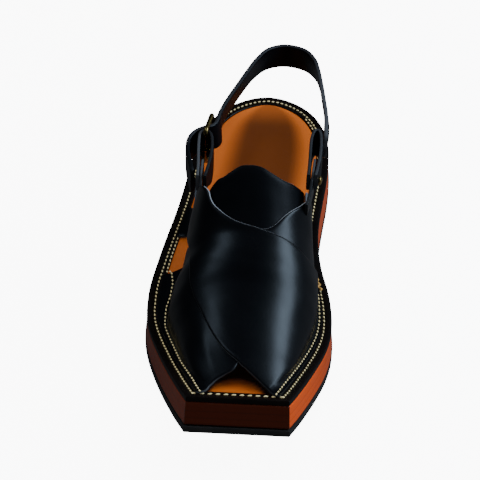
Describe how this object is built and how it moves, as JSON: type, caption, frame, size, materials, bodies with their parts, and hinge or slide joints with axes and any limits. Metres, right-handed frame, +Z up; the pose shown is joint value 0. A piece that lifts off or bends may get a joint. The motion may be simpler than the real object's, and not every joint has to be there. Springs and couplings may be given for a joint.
{
  "type": "peshawari chappal",
  "caption": "Closed-front leather sandal with crossed panels, blunt raised toe, thick leather sole and a back strap with a buckle.",
  "frame": {"origin": "centre of the bounding box in plan, on the floor", "axes": "+Z up, -Y towards the toe, -X towards the buckle (lateral side of a right shoe)"},
  "size_m": [0.1062, 0.286, 0.0994],
  "materials": {
    "black_leather": "polished black calf with a soft grain",
    "tan_leather": "tan, burnished dark in the middle",
    "stacked_leather": "polished orange-tan sole edge",
    "black_rubber": "matt black",
    "brass": "aged satin"
  },
  "bodies": {
    "root": {"outsole": "black_rubber", "midsole": "stacked_leather", "rand": "black_leather", "insole": "tan_leather", "upper": "black_leather", "tongue": "black_leather", "back_strap": "black_leather", "lateral_loop": "black_leather", "medial_loop": "black_leather", "buckle_frame": "brass", "buckle_prong": "brass", "rivet": "brass"}
  },
  "joints": []
}
